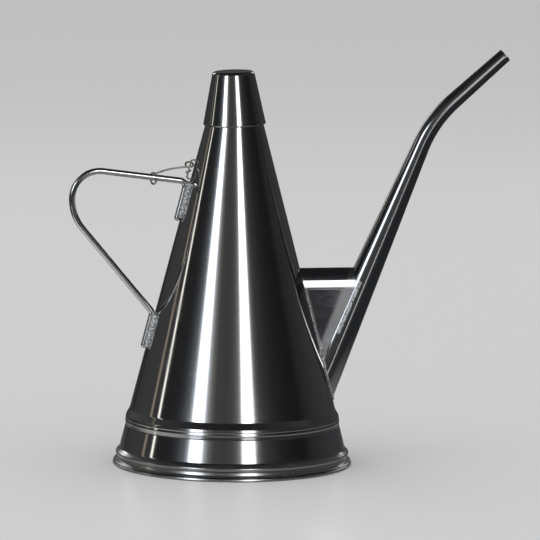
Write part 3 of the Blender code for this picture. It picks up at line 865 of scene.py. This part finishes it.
around = [seam_place(math.tau * (k / SEAM_POINTS - 0.5)) for k in range(SEAM_POINTS + 1)]
around = [p for p in around if p.z < SEAM_TOP]
root_weld = wire("spout_root_weld", around, 1.25 * SEAM_BEAD, BEAD_SIDES, weld_steel, ripple=BEAD_RIPPLE)
report(root_weld)

flanks = sorted((outer[: FLANK_ROWS + 1], outer[-FLANK_ROWS - 1 :]), key=lambda flank: flank[0][0].y)
gusset_welds = []
for label, flank in zip(("near", "far"), flanks):
    edge = spaced([row[0] for row in flank if (row[-1] - row[0]).length > EDGE_LEAST], EDGE_STEP)
    bead = wire(f"gusset_cone_weld_{label}", edge, EDGE_BEAD, BEAD_SIDES, weld_steel, ripple=BEAD_RIPPLE)
    gusset_welds.append(report(bead))

# %% Bands along the spout and blobs at the tip
TAB_HIGH, TAB_LOW, TAB_LENGTHS, TAB_WIDTHS = 99 * MM, 70.5 * MM, 100, 12
TAB_TURN, TAB_SPREAD = math.radians(115.5), math.radians(12.5)
TAB_THICK, TAB_LUMP, TAB_SUNK = 0.30 * MM, 0.12 * MM, 0.15 * MM
LUMP_PITCH = 0.9 * MM
TIP_HIGH, TIP_STEP, TIP_POINTS = 62.4 * MM, 0.3 * MM, 16
BLOB_RADIUS, BLOB_SIDES, BLOB_RIPPLE = 1.0 * MM, 16, 0.5


def weld_tab(name, hand):
    """A flat, lumpy band of weld on the spout's skin beside the gusset's edge."""
    start, end = along_spout(TAB_HIGH), along_spout(TAB_LOW)
    across = [(1 - math.cos(math.pi * m / TAB_WIDTHS)) / 2 for m in range(TAB_WIDTHS + 1)]
    loops = []
    for k in range(TAB_LENGTHS + 1):
        distance = start + (end - start) * k / TAB_LENGTHS
        ending = min(1.0, 8 * min(k, TAB_LENGTHS - k) / TAB_LENGTHS)
        over, under = [], []
        for share in across:
            turn = hand * (TAB_TURN - TAB_SPREAD * share)
            lump = TAB_LUMP * noise.noise(spout_point(turn, distance) / LUMP_PITCH)
            swell = ending * math.sin(math.pi * share) ** 0.4
            over.append(spout_point(turn, distance, (TAB_THICK + lump) * swell))
            under.append(spout_point(turn, distance, -TAB_SUNK))
        loops.append(over + list(reversed(under)))
    return capped(skinned(name, loops, weld_steel))


def tip_weld(name, hand):
    """A blob that runs down the flank's lower edge into the corner."""
    drop = []
    for height in [TIP_HIGH - TIP_STEP * k for k in range(TIP_POINTS)]:
        side = hand * gusset_half(height)
        left, right = gusset_span(side, height)
        drop.append(Vector(((left + right) / 2, side, height)))
    return wire(name, drop, BLOB_RADIUS, BLOB_SIDES, weld_steel, ripple=BLOB_RIPPLE)


for label, hand in (("near", -1), ("far", 1)):
    gusset_welds.append(report(weld_tab(f"gusset_weld_tab_{label}", hand)))
    gusset_welds.append(report(tip_weld(f"gusset_tip_weld_{label}", hand)))

# %% [markdown]
# ## The handle
#
# One wire, bent four times. Both ends lie along the cone and are held there by a strip
# of solder on each side of the wire.

# %% Handle
HANDLE_WIRE, HANDLE_SIDES = 1.7 * MM, 32
UPPER, LOWER = 155.2 * MM, 83.7 * MM
UPPER_FOOT, LOWER_FOOT = 20.5 * MM, 18.5 * MM
HANDLE_REACH, HANDLE_RISE, HANDLE_BACK = 62.8 * MM, 8.2 * MM, 26.2 * MM
HANDLE_BENDS = in_mm([3.2, 14.9, 24.5, 3.2])


def beside_cone(height, off):
    """A point in the middle plane on the handle's side, this far off the cone."""
    return Vector((-cone_radius(height) - off / CONE_COS, 0, height))


def down_cone(distance):
    return Vector((-CONE_TAPER, 0, -1)) * CONE_COS * distance


upper, lower = beside_cone(UPPER, HANDLE_WIRE + GAP), beside_cone(LOWER, HANDLE_WIRE + GAP)
crown = upper + Vector((-HANDLE_REACH, 0, HANDLE_RISE))
corners = [upper + down_cone(UPPER_FOOT), upper, crown, crown - UP * HANDLE_BACK]
corners += [lower, lower + down_cone(LOWER_FOOT)]
path = eased(rounded(corners, HANDLE_BENDS, math.radians(4)), 4 * MM)
handle = report(wire("handle", path, HANDLE_WIRE, HANDLE_SIDES, wire_steel))

# %% Solder strips
STRIPS_FROM_TO = (("upper", 153.4 * MM, 137.0 * MM), ("lower", 82.0 * MM, 66.6 * MM))
SOLDER_RADIUS, SOLDER_ASIDE, SOLDER_OFF = 1.75 * MM, 2.3 * MM, 0.8 * MM
SOLDER_POINTS, SOLDER_SIDES, SOLDER_RIPPLE = 80, 24, 0.16


def beside_foot(height, aside):
    """A point beside the wire and a little off the cone, this far round it."""
    turn = aside / cone_radius(height)
    return Vector((-math.cos(turn), math.sin(turn), 0)) * (cone_radius(height) + SOLDER_OFF) + UP * height


strips = []
for label, high, low in STRIPS_FROM_TO:
    for hand, way in (("near", -1), ("far", 1)):
        heights = [high + (low - high) * k / SOLDER_POINTS for k in range(SOLDER_POINTS + 1)]
        line = [beside_foot(height, way * SOLDER_ASIDE) for height in heights]
        name = f"handle_solder_{label}_{hand}"
        strip = wire(name, line, SOLDER_RADIUS, SOLDER_SIDES, weld_steel, ripple=SOLDER_RIPPLE)
        strips.append(report(strip))

# %% [markdown]
# ## The keeper wire
#
# A thin wire links the handle's top to the cone. It ends in a ring round the handle and
# an eye round a small staple, which also carries a loose ring.

# %% Staple and loose ring
THIN, THIN_SIDES = 0.5 * MM, 16
STAPLE_LOW, STAPLE_TALL, STAND_OFF, STAPLE_BEND = UPPER + 1.4 * MM, 10.2 * MM, 2.6 * MM, 1.1 * MM
RING_PLACE, RING_RADIUS, RING_WIRE, RING_TILT = 4.0 * MM, 1.35 * MM, 0.4 * MM, math.radians(24)


def loop(centre, radius, across, up, start, sweep, steps):
    """Points round a loop that lies in the plane of two directions, angles in degrees."""
    angles = [math.radians(start + sweep * k / steps) for k in range(steps + 1)]
    return [centre + (across * math.cos(a) + up * math.sin(a)) * radius for a in angles]


high = STAPLE_LOW + STAPLE_TALL
corners = [beside_cone(high, THIN), beside_cone(high, STAND_OFF)]
corners += [beside_cone(STAPLE_LOW, STAND_OFF), beside_cone(STAPLE_LOW, THIN)]
staple = report(wire("wire_staple", rounded(corners, [STAPLE_BEND] * 2), THIN, THIN_SIDES, thin_steel))

hub = beside_cone(STAPLE_LOW + RING_PLACE, STAND_OFF)
across = Vector((math.cos(RING_TILT), 0, math.sin(RING_TILT)))
path = loop(hub, RING_RADIUS, across, ASIDE, 0, 360, 48)[:-1]
ring = report(wire("loose_ring", path, RING_WIRE, 14, thin_steel, closed=True))

# %% Keeper wire
EYE_PLACE, EYE_OUT, EYE_RADIUS, EYE_TILT = 7.8 * MM, 0.5 * MM, 2.1 * MM, math.radians(34)
HOOK_PLACE, HOOK_RADIUS, HOOK_TURN = 18.4 * MM, 3.1 * MM, math.radians(22)
BOW_HEIGHT, BOW_POINTS = 1.0 * MM, 12

hub = beside_cone(STAPLE_LOW + EYE_PLACE, STAND_OFF) - Vector((EYE_OUT, 0, 0))
tilted = Vector((0, math.cos(EYE_TILT), math.sin(EYE_TILT)))
eye = loop(hub, EYE_RADIUS, Vector((1, 0, 0)), tilted, 205, -295, 40)

hub = upper + (crown - upper) * HOOK_PLACE / HANDLE_REACH - UP * (HOOK_RADIUS - HANDLE_WIRE - THIN - GAP)
across = Vector((math.sin(HOOK_TURN), -math.cos(HOOK_TURN), 0))
hook = loop(hub, HOOK_RADIUS, across, UP, 58, 300, 48)

shares = [k / BOW_POINTS for k in range(1, BOW_POINTS)]
bow = [eye[-1].lerp(hook[0], share) + UP * 4 * share * (1 - share) * BOW_HEIGHT for share in shares]
keeper = report(wire("keeper_wire", eye + bow + hook, THIN, THIN_SIDES, thin_steel))

# %% [markdown]
# ## Who moves with what
#
# Everything is one welded can, except the cap, which lifts off. Each piece in the first
# list stands for a CAD solid that stays in the physics. The welds and solder stand for
# none.

# %% Ride on the bodies
pairs = [
    (body, "body_shell", "polished_steel"),
    (base, "base_pan", "satin_steel"),
    (cap, "cap", "polished_steel"),
    (spout, "spout_tube", "polished_steel"),
    (gusset, "spout_gusset", "polished_steel"),
    (root_weld, "spout_seam", "satin_steel"),
    (handle, "handle_wire", "handle_steel"),
    (staple, "keeper_staple", "keeper_steel"),
    (ring, "keeper_ring", "keeper_steel"),
    (keeper, "keeper_pin", "keeper_steel"),
]
for piece, node, slot in pairs:
    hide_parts(node)
    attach(piece, "cap" if piece is cap else "can")
for piece in gusset_welds + strips:
    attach(piece, "can")
print(len(pairs) + len(gusset_welds) + len(strips), "pieces ride")

# %% [markdown]
# ## The floor
#
# A plain pale floor catches the shadow. Mirror rays see a floor of another shade, with painted light on it.
# It is a little glossy, grey round the foot and dark farther out, with a painted pool of light on the left
# that brightens the underside of the handle. Far out on the left, past a slanted edge, it is dull and almost
# black, which keeps the flank of the gusset dark.

# %% Floor
FLOOR_SIZE = 40
PALE, DULL = (0.84, 0.84, 0.835, 1), (0.03, 0.03, 0.033, 1)
# Painted light for mirror rays: grey near the foot fading to dark farther out, and a painted pool of light
# under the handle.
NEAR_SHADE, FAR_SHADE, PAINTED_POOL_LIGHT = (0.24, 0.237, 0.23, 1), (0.025, 0.027, 0.03, 1), (0.66, 0.65, 0.63, 1)
SHADE_FADE, POOL_FADE = (0.09, 0.24), (0.06, 0.17)
DULL_FADE, EDGE_FADE = (0.62, 0.72), (0.092, 0.106)
POOL_PLACE = tuple(-RIGHT * 0.20 - AWAY * 0.08)
EDGE_WAY = tuple(RIGHT + AWAY * math.tan(math.radians(18)))

bpy.ops.mesh.primitive_plane_add(size=FLOOR_SIZE, location=(0, 0, 0))
floor = bpy.context.object
floor.name = "floor"
material, graph, place = new_material("pale_floor")
far = graph.value(graph.vector("LENGTH", place), "Value")
from_pool = graph.value(graph.vector("DISTANCE", place, POOL_PLACE), "Value")
from_edge = graph.value(graph.vector("DOT_PRODUCT", place, EDGE_WAY), "Value")
shade = graph.blend(far.band(*SHADE_FADE), NEAR_SHADE, FAR_SHADE)
# The painted pool of light under the handle.
shade = graph.blend(from_pool.band(*POOL_FADE, 1.0, 0.0), shade, PAINTED_POOL_LIGHT)
seen = graph.add("ShaderNodeBsdfPrincipled", None, {"Base Color": PALE, "Roughness": 0.32}).outputs[0]
glossy = graph.add("ShaderNodeBsdfPrincipled", None, {"Base Color": shade, "Roughness": 0.16}).outputs[0]
dull = graph.add("ShaderNodeBsdfDiffuse", None, {"Color": DULL}).outputs[0]
far_left = far.band(*DULL_FADE) * from_edge.band(*EDGE_FADE, 1.0, 0.0)
mirrored = graph.add("ShaderNodeMixShader", None, {0: far_left, 1: glossy, 2: dull}).outputs[0]
by_mirror = graph.value(graph.add("ShaderNodeLightPath"), "Is Glossy Ray")
shader = graph.add("ShaderNodeMixShader", None, {0: by_mirror, 1: seen, 2: mirrored})
graph.add("ShaderNodeOutputMaterial", None, {"Surface": shader.outputs[0]})
floor.data.materials.append(material)
print("floor ready")

# %% [markdown]
# ## The studio
#
# What makes the can readable is two tall soft boxes, one on each side of the camera. Each
# shows as one bright stripe with soft shoulders that runs up the cone and the cap. Two
# narrow strips of light at the far left draw the thin lines there. All of them end at
# about 28 degrees above the table, so whatever faces higher, such as the top of the
# gusset, stays dark. The world's own nodes draw them for mirror rays alone. One ramp goes
# round the horizon: a list of angles to the right of the camera, in degrees, and of how
# bright the room is there. One window in height cuts it off. Matt surfaces are lit by an
# even pale room, and the camera sees a pale wall.

# %% The ramp round the horizon
BOX_GLOW = 3.4
AROUND = [
    (-180, 0.09), (-156, 0.08), (-140, 0.075), (-104, 0.050), (-84, 0.018), (-68, 0.022), (-60, 0.050),
    (-52, 0.15), (-47.5, 0.55), (-44.5, BOX_GLOW), (-34, BOX_GLOW), (-31.5, 0.8), (-28.5, 0.36),
    (-25, 0.16), (-20, 0.072), (-8, 0.060), (0, 0.080), (5, 0.14), (9.5, 0.34), (13.0, BOX_GLOW),
    (22.5, BOX_GLOW), (26, 0.30), (30, 0.10), (36, 0.048), (50, 0.022), (66, 0.012), (82, 0.010),
    (94, 0.025), (140, 0.042), (156, 0.06), (180, 0.09),
]
COOL, WARM = (0.93, 1.0, 1.10), (1.0, 0.995, 0.985)
COOL_FROM, COOL_TO = -84, -30


def round_place(degrees):
    """Where an angle lies on the ramp, from 0 behind the can to 1 behind it again."""
    return degrees / 360 + 0.5


ramp = []
for angle, glow in AROUND:
    cast = COOL if COOL_FROM < angle < COOL_TO else WARM
    ramp.append((round_place(angle), (*[glow * c / BOX_GLOW for c in cast], 1)))
print(f"{len(ramp)} stops round the horizon")

# %% World
STRIPS = ((-91.6, 2.2, (1.7, 1.65, 1.55)), (-104.2, 2.4, (0.36, 0.30, 0.22)))
WINDOW_FROM, WINDOW_TO = (0.02, 0.20), (0.43, 0.50)
CEILING_FADE = (0.45, 0.85)
CEILING_LOW, CEILING_HIGH = (0.045, 0.047, 0.05, 1), (0.012, 0.012, 0.013, 1)
MATT_ROOM, PALE_WALL = (0.92, 0.92, 0.92, 1), (0.72, 0.72, 0.72, 1)

world = bpy.data.worlds.new("studio")
bpy.context.scene.world = world
world.use_nodes = True
world.node_tree.nodes.clear()
graph = Graph(world.node_tree)
ray = graph.add("ShaderNodeTexCoord").outputs["Generated"]


def along(way):
    return graph.value(graph.vector("DOT_PRODUCT", ray, way), "Value")


turn = along(RIGHT).maths("ARCTAN2", along(-AWAY)) * (1 / math.tau) + 0.5
height = along(UP)
room = graph.add("ShaderNodeValToRGB", {"stops": ramp}, {"Fac": turn}).outputs[0]
room = graph.vector("SCALE", room, Scale=BOX_GLOW).outputs[0]
for degrees, wide, glow in STRIPS:
    aside = (turn - round_place(degrees)).maths("ABSOLUTE")
    lit = aside.band(0.3 * wide / 360, wide / 360, 1.0, 0.0)
    room = graph.vector("ADD", room, graph.vector("SCALE", glow, Scale=lit).outputs[0]).outputs[0]
window = height.band(*WINDOW_FROM) * height.band(*WINDOW_TO, 1.0, 0.0)
ceiling = graph.blend(height.band(*CEILING_FADE), CEILING_LOW, CEILING_HIGH)
paths = graph.add("ShaderNodeLightPath")
by_mirror = graph.value(paths, "Is Glossy Ray")
shown = graph.blend(by_mirror, MATT_ROOM, graph.blend(window, ceiling, room))
shown = graph.blend(graph.value(paths, "Is Camera Ray"), shown, PALE_WALL)
background = graph.add("ShaderNodeBackground", None, {"Color": shown, "Strength": 1.0})
graph.add("ShaderNodeOutputWorld", None, {"Surface": background.outputs[0]})
bpy.context.scene.view_settings.view_transform = "Standard"
print("world:", world.name)

# %% [markdown]
# Three soft lamps finish the light. Two stand behind the can and edge it, and a wide one
# overhead, which the mirror doesn't show, drops the soft shadow on the floor.


# %% Lamps
def lamp(name, degrees, away, height, wide, tall, glow, mirrored=True):
    """A soft lamp that faces the can, at an angle to the right of the camera."""
    angle = math.radians(degrees)
    place = (RIGHT * math.sin(angle) - AWAY * math.cos(angle)) * away + UP * height
    light = bpy.data.lights.new(name, "AREA")
    light.shape, light.size, light.size_y = "RECTANGLE", wide, tall
    light.energy = math.pi * glow * wide * tall
    obj = placed(name, light)
    obj.matrix_world = Matrix.Translation(place) @ place.to_track_quat("Z", "Y").to_matrix().to_4x4()
    obj.visible_camera, obj.visible_glossy = False, mirrored


lamp("back_left", -148, away=1.6, height=0.70, wide=0.40, tall=0.60, glow=1.4)
lamp("back_right", 152, away=1.6, height=0.70, wide=0.28, tall=0.60, glow=1.4)
lamp("overhead", -60, away=1.2, height=2.6, wide=1.6, tall=1.6, glow=0.8, mirrored=False)
print("lamps:", [light.name for light in bpy.data.lights])
